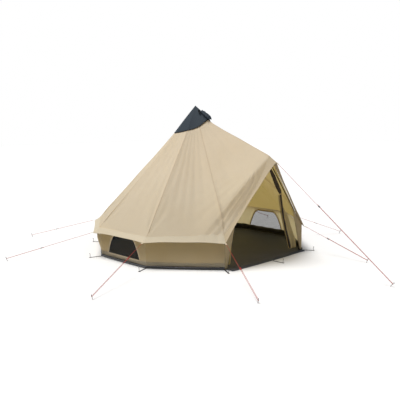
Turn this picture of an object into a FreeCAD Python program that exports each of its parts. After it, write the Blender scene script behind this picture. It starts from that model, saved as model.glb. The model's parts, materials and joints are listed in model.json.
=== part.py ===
"""Bell tent: a nine-cornered canvas cone on low walls, with an A-frame door and guy ropes.

Frame: the origin is on the ground under the centre pole, +Z is up and the door faces -Y.
Everything is in millimetres and degrees. Angles are measured from +X towards +Y.
"""
import FreeCAD, Part
import math
import os

os.makedirs("parts", exist_ok=True)

Vector = FreeCAD.Vector
UP = Vector(0, 0, 1)
ORIGIN = Vector(0, 0, 0)

# ---- plan: nine corners, with the door across the widest side -----------------------------
WALL_RADIUS = 2250.0
CORNER_STEP = 37.5
DOOR_LEFT_ANGLE = 240.0
CORNER_COUNT = 9
CORNER_ANGLES = [DOOR_LEFT_ANGLE - CORNER_STEP * index for index in range(CORNER_COUNT)]
SIDE_NAMES = ["front_left", "left", "rear_left", "back_left",
              "back_right", "rear_right", "right", "front_right"]
WINDOW_SIDES = ("left", "right")
WALL_DRAW_IN = [0.0, 35.0, 105.0, 135.0, 145.0]   # wall's inset at each corner, from door to back

# ---- cloth ---------------------------------------------------------------------------------
CLOTH = 3.0
CROWN_RADIUS = 60.0
CROWN_HEIGHT = 2830.0
EAVE_RADIUS = 2310.0
EAVE_HEIGHT = 500.0
HEM_TOP_HEIGHT = 630.0
DOOR_PEAK = Vector(0, -2020, 2000)
BROW_TIP = Vector(0, -2200, 1870)
CREASE_SHARE = 0.75          # where the crease from the door peak meets the front side's hem
WALL_BOTTOM = 20.0
WALL_ROOF_GAP = 10.0
WALL_CUT_HEIGHT = 900.0      # above any wall: the roof's slope trims the walls below this
MESH_GAP = 0.8

# ---- windows: a trapezoid of mesh in each side wall ----------------------------------------
WINDOW_CENTRE_SHARE = 0.52   # along the wall, from its rear corner to its front one
WINDOW_LOW = 135.0
WINDOW_HIGH = 510.0
WINDOW_LOW_HALF = 470.0
WINDOW_HIGH_HALF = 240.0

# ---- vent cap and hood ---------------------------------------------------------------------
CAP_APEX_HEIGHT = 2980.0
CAP_RADIUS = 460.0
CAP_DOOR_RADIUS = 390.0      # the hem draws in at the two corners over the door
CAP_LIFT = 16.0              # height of the cap's hem above the roof under it
CAP_FRONT_LIFT = 38.0        # the same over the door, where the vent's hood holds it up
CAP_FRONT_REACH = 410.0
HOOD_HALF_WIDTH = 60.0
HOOD_REACH = 450.0
HOOD_CLEARANCE = 8.0
HOOD_TOP = [(175, 2876), (240, 2864), (305, 2826), (395, 2778), (430, 2742)]   # reach, height

# ---- poles ---------------------------------------------------------------------------------
POLE_RADIUS = 16.0
POLE_WALL = 1.5
POLE_CLEARANCE = 0.3
UPPER_POLE_RADIUS = POLE_RADIUS - POLE_WALL - POLE_CLEARANCE
POLE_JOIN_HEIGHT = 1500.0
POLE_OVERLAP = 150.0
POLE_TOP = 2930.0
POLE_TIP_LENGTH = 25.0
FOOT_RADIUS = 45.0
FOOT_PLATE = 8.0
FOOT_SOCKET_RADIUS = 22.0
FOOT_SOCKET_HEIGHT = 45.0
LEG_RADIUS = 9.5
LEG_WALL = 1.2
LEG_TOP = Vector(0, -1990, 1935)
LEG_SHOULDER = Vector(-905, -1928, 822)
LEG_FOOT = Vector(-1082, -1928, 10)
LEG_TOP_GAP = 28.0
SOCKET_RADIUS = 12.5
SOCKET_LENGTH = 95.0
FERRULE_RADIUS = 14.0
FERRULE_LENGTH = 45.0
FERRULE_BASE = 6.0

# ---- groundsheet ---------------------------------------------------------------------------
FLOOR_INSET = 14.0
FLOOR_THICKNESS = 3.0
EDGE_INSET = 8.0
EDGE_THICKNESS = 2.5
EDGE_HEIGHT = 130.0
APRON_REACH = 190.0          # how far the sheet runs out in front of the door
APRON_INSET = 24.0           # how far its sides stay in from the door's corners

# ---- guy lines: name, tent corner angle, peg angle, peg distance, runner's share of the way -
GUY_LINES = [
    ("front_left", 240.0, 239.5, 4180.0, 0.50),
    ("left", 202.5, 204.8, 4120.0, 0.34),
    ("rear_left", 165.0, 157.0, 3920.0, 0.60),
    ("back_left", 127.5, 122.5, 4020.0, 0.59),
    ("back", 90.0, 90.0, 4000.0, 0.50),
    ("back_right", 52.5, 54.0, 3950.0, 0.55),
    ("rear_right", 15.0, 17.0, 3900.0, 0.45),
    ("right", -22.5, -26.0, 3520.0, 0.51),
    ("front_right", -60.0, -72.5, 3640.0, 0.40),
]
PEAK_PEG = Vector(0, -4560, 0)
PEAK_RUNNER_SHARE = 0.40
ROPE_RADIUS = 3.0
STRAND_OFFSET = 7.5          # half the distance between the two strands at runner and peg
STRAND_END = 40.0            # how far the doubled strand runs on past the runner's middle
TAB_WIDTH = 28.0
TAB_THICKNESS = 3.0
TAB_LENGTH = 60.0
TAB_GAP = 3.0
RUNNER_LENGTH = 36.0
RUNNER_WIDTH = 30.0
RUNNER_THICKNESS = 10.0
RUNNER_HOLE_RADIUS = 3.4

# ---- pegs: only the part that stands out of the ground -------------------------------------
PEG_RADIUS = 4.0
PEG_NECK = 50.0              # from the ground to where the rope goes round
PEG_HEAD = 22.0              # from the rope up to the start of the hook
PEG_HOOK_RADIUS = 9.0
PEG_HOOK_TURN = 150.0
STRAP_LENGTH = 260.0
STRAP_WIDTH = 25.0
STRAP_THICKNESS = 4.0
STRAP_HOLE_RADIUS = 5.0
BASE_PEG_NECK = 60.0
BASE_PEG_HEAD = 10.0

# ---- door curtain and net ------------------------------------------------------------------
CURTAIN_FRONT = -1898.0
CURTAIN_DEPTH = 70.0
RIGHT_CURTAIN = [(470, 1180), (520, 1195), (600, 960), (760, 770), (1000, 230), (1015, 60),
                 (830, 60), (720, 400), (590, 720)]
LEFT_CURTAIN = [(-800, 800), (-845, 800), (-1015, 60), (-930, 60)]
NET_SECTIONS = [             # place, direction and radius down the rolled net
    (Vector(110, -1950, 1740), Vector(0.55, 0, -0.83), 28.0),
    (Vector(420, -1938, 1275), Vector(0.50, 0, -0.87), 36.0),
    (Vector(450, -1935, 1215), Vector(0.30, 0, -0.95), 20.0),
    (Vector(545, -1935, 740), Vector(0.24, 0, -0.97), 18.0),
    (Vector(660, -1935, 400), Vector(0.33, 0, -0.94), 20.0),
    (Vector(770, -1935, 90), Vector(0.33, 0, -0.94), 26.0),
]


def polar(radius, angle, height):
    """Point at a radius and angle about the centre pole."""
    turn = math.radians(angle)
    return Vector(radius * math.cos(turn), radius * math.sin(turn), height)


def wall_corner(angle, inset=0.0, height=0.0):
    """Foot of the wall at a corner. The plan draws in a little towards the back."""
    index = round((DOOR_LEFT_ANGLE - angle) / CORNER_STEP)
    draw_in = WALL_DRAW_IN[min(index, CORNER_COUNT - 1 - index)]
    return polar(WALL_RADIUS - draw_in - inset, angle, height)


def seam_radius(height):
    """Radius of the straight roof seams at a height."""
    share = (CROWN_HEIGHT - height) / (CROWN_HEIGHT - EAVE_HEIGHT)
    return CROWN_RADIUS + share * (EAVE_RADIUS - CROWN_RADIUS)


def seam_height(radius):
    """Height of the straight roof seams at a radius."""
    share = (radius - CROWN_RADIUS) / (EAVE_RADIUS - CROWN_RADIUS)
    return CROWN_HEIGHT - share * (CROWN_HEIGHT - EAVE_HEIGHT)


def crown(angle):
    return polar(CROWN_RADIUS, angle, CROWN_HEIGHT)


def hem(angle):
    return polar(seam_radius(HEM_TOP_HEIGHT), angle, HEM_TOP_HEIGHT)


def eave(angle):
    return polar(EAVE_RADIUS, angle, EAVE_HEIGHT)


def between(start, end, share):
    return start + (end - start) * share


def outline_face(points):
    return Part.Face(Part.makePolygon(points + [points[0]]))


def cloth_facet(points):
    """Flat piece of cloth: an outline and the same outline one cloth thickness lower."""
    return outline_face(points).extrude(Vector(0, 0, -CLOTH))


def joined(shapes):
    """One solid from touching pieces."""
    result = shapes[0]
    for shape in shapes[1:]:
        result = result.fuse(shape)
    return result.removeSplitter()


def mirrored(shape):
    return shape.mirror(ORIGIN, Vector(1, 0, 0))


def rod(start, end, radius):
    run = end - start
    return Part.makeCylinder(radius, run.Length, start, run)


def flat_plate(points, front, depth):
    """Upright plate from (x, z) outline points, its front face at y = front."""
    corners = [Vector(x, front, z) for x, z in points]
    return outline_face(corners).extrude(Vector(0, depth, 0))


def ring_plate(angle_a, angle_b, inset, thickness, low, high):
    """Upright plate between two corners, mitred on the radial planes through them."""
    points = [wall_corner(angle_a, inset, low), wall_corner(angle_b, inset, low),
              wall_corner(angle_b, inset + thickness, low), wall_corner(angle_a, inset + thickness, low)]
    return outline_face(points).extrude(Vector(0, 0, high - low))


# ---- roof ----------------------------------------------------------------------------------
DOOR_LEFT = CORNER_ANGLES[0]
CREASE_END = between(hem(CORNER_ANGLES[1]), hem(DOOR_LEFT), CREASE_SHARE)
RIDGE_START = between(crown(DOOR_LEFT), crown(180.0 * 3 - DOOR_LEFT), 0.5)


def crease_on_seam():
    """Where the crease from the door peak crosses the seam above the door's left corner."""
    run = CREASE_END - DOOR_PEAK
    slope = math.tan(math.radians(DOOR_LEFT))
    share = (slope * DOOR_PEAK.x - DOOR_PEAK.y) / (run.y - slope * run.x)
    return DOOR_PEAK + run * share


CREASE_CROSSING = crease_on_seam()


def roof_panel(angle_a, angle_b):
    return cloth_facet([crown(angle_a), crown(angle_b), hem(angle_b), hem(angle_a)])


def front_roof_panel():
    """The roof panel beside the door, folded along the crease that the A-frame pulls in it."""
    side = CORNER_ANGLES[1]
    flat = cloth_facet([crown(DOOR_LEFT), crown(side), hem(side), CREASE_END])
    lifted = cloth_facet([crown(DOOR_LEFT), CREASE_END, CREASE_CROSSING])
    lower = cloth_facet([CREASE_END, hem(DOOR_LEFT), CREASE_CROSSING])
    return joined([flat, lifted, lower])


def wedge_panel():
    """Half of the roof over the door, from the ridge to the seam at the door's left corner."""
    ridge = cloth_facet([RIDGE_START, DOOR_PEAK, crown(DOOR_LEFT)])
    upper = cloth_facet([crown(DOOR_LEFT), DOOR_PEAK, CREASE_CROSSING])
    lower = cloth_facet([CREASE_CROSSING, DOOR_PEAK, hem(DOOR_LEFT)])
    return joined([ridge, upper, lower])


def eave_band():
    """Doubled hem band round the foot of the roof, open at the door."""
    strips = []
    for angle_a, angle_b in zip(CORNER_ANGLES, CORNER_ANGLES[1:]):
        strips.append(cloth_facet([hem(angle_a), hem(angle_b), eave(angle_b), eave(angle_a)]))
    return joined(strips)


def door_brow():
    """Doubled band that stands out over both slopes of the door."""
    inner = cloth_facet([DOOR_PEAK, hem(DOOR_LEFT), eave(DOOR_LEFT)])
    outer = cloth_facet([DOOR_PEAK, eave(DOOR_LEFT), BROW_TIP])
    left = joined([inner, outer])
    return joined([left, mirrored(left)])


# ---- walls and windows ---------------------------------------------------------------------
def wall_panel(angle_a, angle_b):
    """Wall that stops just under the slope of the roof."""
    tall = ring_plate(angle_a, angle_b, 0, CLOTH, WALL_BOTTOM, WALL_CUT_HEIGHT)
    drop = UP * WALL_ROOF_GAP
    slope = outline_face([point - drop for point in
                          (crown(angle_a), crown(angle_b), eave(angle_b), eave(angle_a))])
    return tall.cut(slope.extrude(UP * CROWN_HEIGHT))


def front_wall_panel():
    """Wall beside the door with its jamb, the upright strip between corner and opening."""
    wall = wall_panel(DOOR_LEFT, CORNER_ANGLES[1])
    corner = wall_corner(DOOR_LEFT)
    outline = [(corner.x, WALL_BOTTOM), (corner.x + 45, WALL_BOTTOM), (-940, 430),
               (-850, 850), (-1000, 680), (corner.x, 545)]
    return joined([wall, flat_plate(outline, corner.y, CLOTH)])


def window_prism(angle_rear, angle_front, grow, inset, depth):
    """Solid that cuts the window out of a wall, or the mesh that fills it."""
    rear = wall_corner(angle_rear, inset)
    front = wall_corner(angle_front, inset)
    along = (front - rear).normalize()
    centre = between(rear, front, WINDOW_CENTRE_SHARE)
    corners = [(-WINDOW_LOW_HALF - grow, WINDOW_LOW - grow), (WINDOW_LOW_HALF + grow, WINDOW_LOW - grow),
               (WINDOW_HIGH_HALF + grow, WINDOW_HIGH + grow), (-WINDOW_HIGH_HALF - grow, WINDOW_HIGH + grow)]
    points = [centre + along * reach + UP * height for reach, height in corners]
    inward = along.cross(UP)
    if inward.dot(centre) > 0:
        inward = inward * -1
    return outline_face(points).extrude(inward * depth)


def window_corners(name):
    """Rear and front corner angles of a window wall."""
    index = SIDE_NAMES.index(name)
    ends = (CORNER_ANGLES[index], CORNER_ANGLES[index + 1])
    if name == "left":
        return ends[1], ends[0]
    return ends


def window_wall(name):
    rear, front = window_corners(name)
    index = SIDE_NAMES.index(name)
    wall = wall_panel(CORNER_ANGLES[index], CORNER_ANGLES[index + 1])
    return wall.cut(window_prism(rear, front, MESH_GAP, -CLOTH, 3 * CLOTH))


def window_meshes():
    meshes = []
    for name in WINDOW_SIDES:
        rear, front = window_corners(name)
        meshes.append(window_prism(rear, front, 0.0, 0.3 * CLOTH, 0.4 * CLOTH))
    return Part.makeCompound(meshes)


# ---- vent cap ------------------------------------------------------------------------------
def ridge_height(reach):
    """Height of the door ridge at a distance in front of the pole."""
    run = DOOR_PEAK - RIDGE_START
    return RIDGE_START.z + run.z * (reach + RIDGE_START.y) / -run.y


def lifted_seam_height(radius):
    """Height of the seam above the door corner, which the crease holds up."""
    start = crown(DOOR_LEFT)
    reach = math.hypot(CREASE_CROSSING.x, CREASE_CROSSING.y)
    share = (radius - CROWN_RADIUS) / (reach - CROWN_RADIUS)
    return start.z + share * (CREASE_CROSSING.z - start.z)


def cap_hem_points():
    """Corner points of the cap's hem, all the way round from the ridge."""
    points = [Vector(0, -CAP_FRONT_REACH, ridge_height(CAP_FRONT_REACH) + CAP_FRONT_LIFT)]
    for angle in CORNER_ANGLES:
        if angle in (CORNER_ANGLES[0], CORNER_ANGLES[-1]):
            height = lifted_seam_height(CAP_DOOR_RADIUS) + CAP_FRONT_LIFT
            points.append(polar(CAP_DOOR_RADIUS, angle, height))
        else:
            points.append(polar(CAP_RADIUS, angle, seam_height(CAP_RADIUS) + CAP_LIFT))
    return points


def vent_cap():
    apex = Vector(0, 0, CAP_APEX_HEIGHT)
    hem_points = cap_hem_points()
    following = hem_points[1:] + hem_points[:1]
    return joined([cloth_facet([apex, start, end]) for start, end in zip(hem_points, following)])


def vent_hood():
    """Bunched hood over the vent, lying along the ridge on the door side of the cap."""
    front = (HOOD_REACH, ridge_height(HOOD_REACH) + HOOD_CLEARANCE)
    over_hem = (CAP_FRONT_REACH + HOOD_CLEARANCE, cap_hem_points()[0].z + HOOD_CLEARANCE)
    outline = HOOD_TOP + [front, over_hem]
    face = outline_face([Vector(-HOOD_HALF_WIDTH, -reach, height) for reach, height in outline])
    return face.extrude(Vector(2 * HOOD_HALF_WIDTH, 0, 0))


# ---- poles ---------------------------------------------------------------------------------
def tube(start, end, radius, wall):
    return rod(start, end, radius).cut(rod(start, end, radius - wall))


def centre_pole_foot():
    plate = Part.makeCylinder(FOOT_RADIUS, FOOT_PLATE, Vector(0, 0, FLOOR_THICKNESS))
    socket_base = Vector(0, 0, FLOOR_THICKNESS + FOOT_PLATE)
    socket = Part.makeCylinder(FOOT_SOCKET_RADIUS, FOOT_SOCKET_HEIGHT, socket_base)
    bore = Part.makeCylinder(POLE_RADIUS + POLE_CLEARANCE, FOOT_SOCKET_HEIGHT, socket_base)
    return plate.fuse(socket).cut(bore).removeSplitter()


def centre_pole_lower():
    base = Vector(0, 0, FLOOR_THICKNESS + FOOT_PLATE)
    return tube(base, Vector(0, 0, POLE_JOIN_HEIGHT), POLE_RADIUS, POLE_WALL)


def centre_pole_upper():
    """Upper tube, which slips into the lower one and carries the tip under the cap."""
    base = Vector(0, 0, POLE_JOIN_HEIGHT - POLE_OVERLAP)
    body = tube(base, Vector(0, 0, POLE_TOP), UPPER_POLE_RADIUS, POLE_WALL)
    tip = Part.makeCone(UPPER_POLE_RADIUS, UPPER_POLE_RADIUS / 2, POLE_TIP_LENGTH, Vector(0, 0, POLE_TOP))
    return body.fuse(tip).removeSplitter()


def centre_pole_collar():
    """Clamp collar that locks the upper tube where it leaves the lower one."""
    base = Vector(0, 0, POLE_JOIN_HEIGHT)
    outer = Part.makeCylinder(POLE_RADIUS + 4, 40, base)
    return outer.cut(Part.makeCylinder(UPPER_POLE_RADIUS + POLE_CLEARANCE, 40, base))


def leg_start():
    run = (LEG_SHOULDER - LEG_TOP).normalize()
    return LEG_TOP + run * LEG_TOP_GAP


def a_frame_leg():
    """Left leg of the door frame: a tube bent at the shoulder."""
    bend = Part.makeSphere(LEG_RADIUS, LEG_SHOULDER)
    hollow = Part.makeSphere(LEG_RADIUS - LEG_WALL, LEG_SHOULDER)
    foot = LEG_FOOT + (LEG_SHOULDER - LEG_FOOT).normalize() * FERRULE_BASE
    outside = [rod(leg_start(), LEG_SHOULDER, LEG_RADIUS), rod(LEG_SHOULDER, foot, LEG_RADIUS), bend]
    inner = LEG_RADIUS - LEG_WALL
    inside = [rod(leg_start(), LEG_SHOULDER, inner), rod(LEG_SHOULDER, foot, inner), hollow]
    return joined(outside).cut(joined(inside))


def a_frame_peak_joint():
    """Elbow at the top of the door frame, with a socket over each leg."""
    run = (LEG_SHOULDER - LEG_TOP).normalize()
    sleeve = rod(LEG_TOP, LEG_TOP + run * SOCKET_LENGTH, SOCKET_RADIUS)
    bore = rod(leg_start(), LEG_TOP + run * SOCKET_LENGTH, LEG_RADIUS)
    body = joined([sleeve, mirrored(sleeve), Part.makeSphere(SOCKET_RADIUS, LEG_TOP)])
    return body.cut(bore).cut(mirrored(bore))


def a_frame_feet():
    """Rubber ferrule on the foot of each leg."""
    run = (LEG_SHOULDER - LEG_FOOT).normalize()
    body = rod(LEG_FOOT, LEG_FOOT + run * FERRULE_LENGTH, FERRULE_RADIUS)
    bore = rod(LEG_FOOT + run * FERRULE_BASE, LEG_FOOT + run * FERRULE_LENGTH, LEG_RADIUS)
    ferrule = body.cut(bore)
    return Part.makeCompound([ferrule, mirrored(ferrule)])


# ---- groundsheet ---------------------------------------------------------------------------
def groundsheet_floor():
    corners = [wall_corner(angle, FLOOR_INSET) for angle in CORNER_ANGLES]
    half_width = corners[-1].x - APRON_INSET
    sill = corners[-1].y
    apron = [Vector(half_width, sill, 0), Vector(half_width, sill - APRON_REACH, 0),
             Vector(-half_width, sill - APRON_REACH, 0), Vector(-half_width, sill, 0)]
    return outline_face(corners + apron).extrude(UP * FLOOR_THICKNESS)


def groundsheet_edge():
    """Raised edge of the groundsheet, inside the walls and open at the door."""
    sides = []
    for angle_a, angle_b in zip(CORNER_ANGLES, CORNER_ANGLES[1:]):
        sides.append(ring_plate(angle_a, angle_b, EDGE_INSET, EDGE_THICKNESS, 0, EDGE_HEIGHT))
    return joined(sides)


# ---- guy lines -----------------------------------------------------------------------------
class GuyLine:
    """One guy line: where its two strands, runner, tab and peg are."""

    def __init__(self, anchor, peg, runner_share):
        flat = Vector(peg.x - anchor.x, peg.y - anchor.y, 0)
        side = flat.cross(UP).normalize()
        neck = Vector(peg.x, peg.y, PEG_NECK)
        end = neck + side * STRAND_OFFSET
        self.run = (end - anchor).normalize()
        self.side = self.run.cross(UP).normalize()
        self.lift = self.side.cross(self.run).normalize()
        self.anchor = anchor
        self.end = end
        self.neck = end - self.side * STRAND_OFFSET
        self.start = anchor + self.run * (TAB_GAP + TAB_LENGTH)
        length = (end - anchor).Length
        self.runner = anchor + self.run * (length * runner_share) - self.side * STRAND_OFFSET


def corner_guy_line(entry):
    name, corner_angle, peg_angle, distance, share = entry
    return GuyLine(eave(corner_angle) - UP * CLOTH / 2, polar(distance, peg_angle, 0), share)


def guy_lines():
    """All guy lines by name, the one at the door peak last."""
    lines = {entry[0]: corner_guy_line(entry) for entry in GUY_LINES}
    lines["door_peak"] = GuyLine(BROW_TIP - UP * CLOTH / 2, PEAK_PEG, PEAK_RUNNER_SHARE)
    return lines


def guy_rope(line):
    """Main strand to the peg, a half turn round it, and the doubled strand back to the runner."""
    back = line.neck - line.side * STRAND_OFFSET
    turn = line.neck + line.run * STRAND_OFFSET
    upper = line.runner - line.side * STRAND_OFFSET - line.run * STRAND_END
    path = Part.Wire([Part.LineSegment(line.start, line.end).toShape(),
                      Part.Arc(line.end, turn, back).toShape(),
                      Part.LineSegment(back, upper).toShape()])
    section = Part.Wire(Part.Circle(line.start, line.run, ROPE_RADIUS).toShape())
    return path.makePipeShell([section], True, False)


def box_along(line, centre, length, width, thickness):
    """Box centred on a point, its length along the rope."""
    half_side = line.side * (width / 2)
    half_lift = line.lift * (thickness / 2)
    start = centre - line.run * (length / 2)
    corners = [start - half_side - half_lift, start + half_side - half_lift,
               start + half_side + half_lift, start - half_side + half_lift]
    return outline_face(corners).extrude(line.run * length)


def guy_runner(line):
    """Flat runner with two holes, one for each strand."""
    body = box_along(line, line.runner, RUNNER_LENGTH, RUNNER_WIDTH, RUNNER_THICKNESS)
    for offset in (STRAND_OFFSET, -STRAND_OFFSET):
        middle = line.runner + line.side * offset
        body = body.cut(rod(middle - line.run * RUNNER_LENGTH, middle + line.run * RUNNER_LENGTH,
                            RUNNER_HOLE_RADIUS))
    return body


def guy_tabs(lines):
    """Webbing tab at each corner, where the rope is tied on."""
    tabs = []
    for line in lines.values():
        centre = line.anchor + line.run * (TAB_GAP + TAB_LENGTH / 2)
        tabs.append(box_along(line, centre, TAB_LENGTH, TAB_WIDTH, TAB_THICKNESS))
    return Part.makeCompound(tabs)


# ---- pegs and straps -----------------------------------------------------------------------
def hooked_peg(neck, axis, away, neck_length, head_length):
    """Peg from the ground through its neck, with a hook that turns away from the tent."""
    foot = neck - axis * neck_length
    head = neck + axis * head_length
    hook_centre = head + away * PEG_HOOK_RADIUS
    turn = math.radians(PEG_HOOK_TURN)
    middle = hook_centre - away * (PEG_HOOK_RADIUS * math.cos(turn / 2)) \
        + axis * (PEG_HOOK_RADIUS * math.sin(turn / 2))
    end = hook_centre - away * (PEG_HOOK_RADIUS * math.cos(turn)) + axis * (PEG_HOOK_RADIUS * math.sin(turn))
    path = Part.Wire([Part.LineSegment(foot, head).toShape(), Part.Arc(head, middle, end).toShape()])
    section = Part.Wire(Part.Circle(foot, axis, PEG_RADIUS).toShape())
    return path.makePipeShell([section], True, False)


def guy_pegs(lines):
    pegs = []
    for line in lines.values():
        lean = math.sqrt(1.0 - line.lift.z ** 2)
        length = (line.neck.z - PEG_RADIUS * lean) / line.lift.z
        pegs.append(hooked_peg(line.neck, line.lift, line.run, length, PEG_HEAD))
    return Part.makeCompound(pegs)


def base_points():
    """Start and outward direction of each strap: every wall corner, and the middle of the sill."""
    points = [(wall_corner(angle, -2), polar(1, angle, 0)) for angle in CORNER_ANGLES]
    sill = Vector(0, groundsheet_floor().BoundBox.YMin - 2, 0)
    return points + [(sill, Vector(0, -1, 0))]


def base_straps():
    straps = []
    for start, away in base_points():
        side = away.cross(UP) * (STRAP_WIDTH / 2)
        face = outline_face([start - side, start + side, start + side + away * STRAP_LENGTH,
                             start - side + away * STRAP_LENGTH])
        hole = Part.makeCylinder(STRAP_HOLE_RADIUS, STRAP_THICKNESS, peg_place(start, away))
        straps.append(face.extrude(UP * STRAP_THICKNESS).cut(hole))
    return Part.makeCompound(straps)


def peg_place(start, away):
    return start + away * (STRAP_LENGTH - 20)


def base_pegs():
    pegs = []
    for start, away in base_points():
        neck = peg_place(start, away) + UP * BASE_PEG_NECK
        pegs.append(hooked_peg(neck, UP, away, BASE_PEG_NECK, BASE_PEG_HEAD))
    return Part.makeCompound(pegs)


# ---- door ----------------------------------------------------------------------------------
def door_curtain(outline):
    return flat_plate(outline, CURTAIN_FRONT, CURTAIN_DEPTH)


def door_net_roll():
    """Insect net rolled along the right slope of the door, tied, and hanging to the sill."""
    sections = []
    for place, along, radius in NET_SECTIONS:
        sections.append(Part.Wire(Part.Circle(place, along, radius).toShape()))
    return Part.makeLoft(sections, True, True)


def save(name, shape):
    shape.exportStep(f"parts/{name}.step")


def main():
    for index, name in enumerate(SIDE_NAMES):
        angle_a = CORNER_ANGLES[index]
        angle_b = CORNER_ANGLES[index + 1]
        if name in ("front_left", "front_right"):
            continue
        save(f"roof_panel_{name}", roof_panel(angle_a, angle_b))
        wall = window_wall(name) if name in WINDOW_SIDES else wall_panel(angle_a, angle_b)
        save(f"wall_panel_{name}", wall)
    for side, place in (("left", lambda shape: shape), ("right", mirrored)):
        save(f"roof_panel_front_{side}", place(front_roof_panel()))
        save(f"wall_panel_front_{side}", place(front_wall_panel()))
        save(f"wedge_panel_{side}", place(wedge_panel()))
        save(f"a_frame_leg_{side}", place(a_frame_leg()))
    save("eave_band", eave_band())
    save("door_brow", door_brow())
    save("window_meshes", window_meshes())
    save("vent_cap", vent_cap())
    save("vent_hood", vent_hood())
    save("centre_pole_foot", centre_pole_foot())
    save("centre_pole_lower", centre_pole_lower())
    save("centre_pole_collar", centre_pole_collar())
    save("centre_pole_upper", centre_pole_upper())
    save("a_frame_peak_joint", a_frame_peak_joint())
    save("a_frame_feet", a_frame_feet())
    save("groundsheet_floor", groundsheet_floor())
    save("groundsheet_edge", groundsheet_edge())
    save("door_curtain_left", door_curtain(LEFT_CURTAIN))
    save("door_curtain_right", door_curtain(RIGHT_CURTAIN))
    save("door_net_roll", door_net_roll())
    lines = guy_lines()
    for name, line in lines.items():
        save(f"guy_rope_{name}", guy_rope(line))
        save(f"guy_runner_{name}", guy_runner(line))
    save("guy_tabs", guy_tabs(lines))
    save("guy_pegs", guy_pegs(lines))
    save("base_straps", base_straps())
    save("base_pegs", base_pegs())


if __name__ == "__main__":
    main()
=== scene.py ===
"""Bell tent: its cloth, ropes, materials and a plain studio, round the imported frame.

Metres, +Z up, the door faces -Y. The poles, pegs, runners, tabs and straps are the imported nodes.
"""
import bpy
import json
from math import atan2, cos, exp, pi, radians, sin, sqrt
import numpy as np
from mathutils import Matrix, Vector
from numpy.linalg import norm

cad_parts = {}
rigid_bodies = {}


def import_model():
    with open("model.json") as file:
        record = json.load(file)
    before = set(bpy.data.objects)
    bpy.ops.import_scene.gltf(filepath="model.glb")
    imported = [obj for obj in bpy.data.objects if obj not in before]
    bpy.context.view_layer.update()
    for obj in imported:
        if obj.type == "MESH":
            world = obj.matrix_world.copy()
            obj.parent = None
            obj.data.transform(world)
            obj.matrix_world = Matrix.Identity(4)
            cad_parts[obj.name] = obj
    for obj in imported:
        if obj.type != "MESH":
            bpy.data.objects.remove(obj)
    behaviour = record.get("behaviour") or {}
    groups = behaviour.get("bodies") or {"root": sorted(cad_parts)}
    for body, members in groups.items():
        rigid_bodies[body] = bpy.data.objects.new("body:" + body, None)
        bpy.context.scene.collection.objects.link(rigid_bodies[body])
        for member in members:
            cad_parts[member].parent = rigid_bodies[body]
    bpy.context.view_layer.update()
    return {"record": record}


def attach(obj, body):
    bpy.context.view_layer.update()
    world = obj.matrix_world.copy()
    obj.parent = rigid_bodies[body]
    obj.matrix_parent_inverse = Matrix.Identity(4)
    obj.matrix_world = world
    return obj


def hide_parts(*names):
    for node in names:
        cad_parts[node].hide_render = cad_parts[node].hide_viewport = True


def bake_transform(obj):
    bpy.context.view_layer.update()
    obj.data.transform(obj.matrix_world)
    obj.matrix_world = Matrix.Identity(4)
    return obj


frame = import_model()

# ---- plan and heights, as in the part's source ----
CORNER_STEP = 37.5
CORNER_ANGLES = [240.0 - CORNER_STEP * index for index in range(9)]
SIDE_NAMES = ["front_left", "left", "rear_left", "back_left",
              "back_right", "rear_right", "right", "front_right"]
WALL_RADIUS = 2.250
CROWN_RADIUS = 0.060
CROWN_HEIGHT = 2.830
EAVE_RADIUS = 2.310
EAVE_HEIGHT = 0.500
HEM_TOP_HEIGHT = 0.630
DOOR_PEAK = np.array([0.0, -2.020, 2.000])
BROW_TIP = np.array([0.0, -2.200, 1.870])
CREASE_SHARE = 0.69          # place on the hem where the door peak's crease ends; 0.75 in the part's source
WALL_BOTTOM = 0.020
WALL_DRAW_IN = [0.0, 0.035, 0.105, 0.135, 0.145]   # wall's inset at each corner, door to back
CORNER_DROP = 0.016          # how far the guy rope pulls a corner of the hem down

# ---- camera: its place, axes and lens ----
CAMERA_PLACE = Vector((-8.037, -8.738, 2.578))
CAMERA_RIGHT = Vector((0.7307, -0.6826, -0.0111))
CAMERA_BACK = Vector((-0.6754, -0.7251, 0.1342))
CAMERA_LENS = 50.07
SENSOR = 36.0

# ---- guy lines: name, tent corner angle, peg angle, peg distance, runner's share ----
GUY_LINES = [
    ("front_left", 240.0, 239.5, 4.180, 0.50),
    ("left", 202.5, 204.8, 4.120, 0.34),
    ("rear_left", 165.0, 157.0, 3.920, 0.60),
    ("back_left", 127.5, 122.5, 4.020, 0.59),
    ("back", 90.0, 90.0, 4.000, 0.50),
    ("back_right", 52.5, 54.0, 3.950, 0.55),
    ("rear_right", 15.0, 17.0, 3.900, 0.45),
    ("right", -22.5, -26.0, 3.520, 0.51),
    ("front_right", -60.0, -72.5, 3.640, 0.40),
]
PEAK_PEG = Vector((0, -4.560, 0))
PEAK_RUNNER_SHARE = 0.40
ROPE_DIAMETER = 0.006
STRAND_OFFSET = 0.0075       # half the distance between the two strands
STRAND_END = 0.040           # how far the doubled strand runs on past the runner's middle
TAB_REACH = 0.063            # from the corner to the rope's first point
PEG_NECK = 0.050             # height at which the rope goes round its peg
CLOTH_DROP = 0.0015          # from the eave corner down to the rope's own line


# ---- small helpers ----
UP = np.array([0.0, 0.0, 1.0])


def polar(radius, angle, height=0.0):
    turn = radians(angle)
    return np.array([radius * cos(turn), radius * sin(turn), height])


def lerp(start, end, share):
    return start + (end - start) * share


def smooth_step(low, high, value):
    share = np.clip((value - low) / (high - low), 0.0, 1.0)
    return share * share * (3 - 2 * share)


def bulge(share):
    """0 at both ends of a share from 0 to 1, and 1 half way."""
    return sin(pi * share)


def unit(vector):
    return vector / norm(vector)


def turns(count):
    """Angles in radians, evenly spaced round a circle."""
    return [2 * pi * step / count for step in range(count)]


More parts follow.
